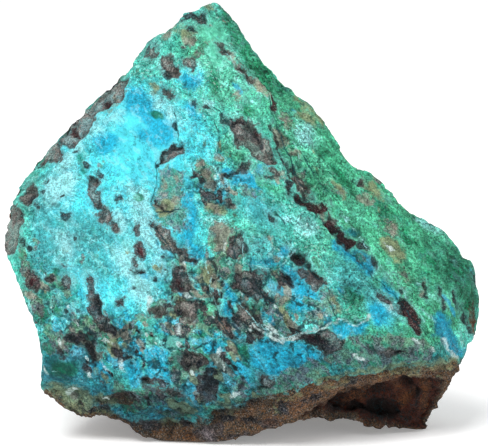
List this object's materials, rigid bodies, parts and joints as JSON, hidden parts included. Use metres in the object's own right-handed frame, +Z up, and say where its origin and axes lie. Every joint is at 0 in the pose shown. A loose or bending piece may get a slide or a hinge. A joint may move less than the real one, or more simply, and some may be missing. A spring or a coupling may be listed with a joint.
{
  "type": "rough chrysocolla stone",
  "caption": "Rough broken piece of blue green copper ore, a blunt wedge that stands on its own worn feet, with a broad mottled face and a dark undercut.",
  "frame": {"origin": "middle of the stone's box in plan, at the level of the surface it stands on", "axes": "+X to the right along the broad face, +Y away from the viewer of the broad face, +Z up"},
  "size_m": [0.0994, 0.0528, 0.0873],
  "materials": {
    "chrysocolla": "matt rough broken stone, blue green with brown patches"
  },
  "bodies": {
    "root": {"chrysocolla_stone": "chrysocolla"}
  },
  "joints": []
}
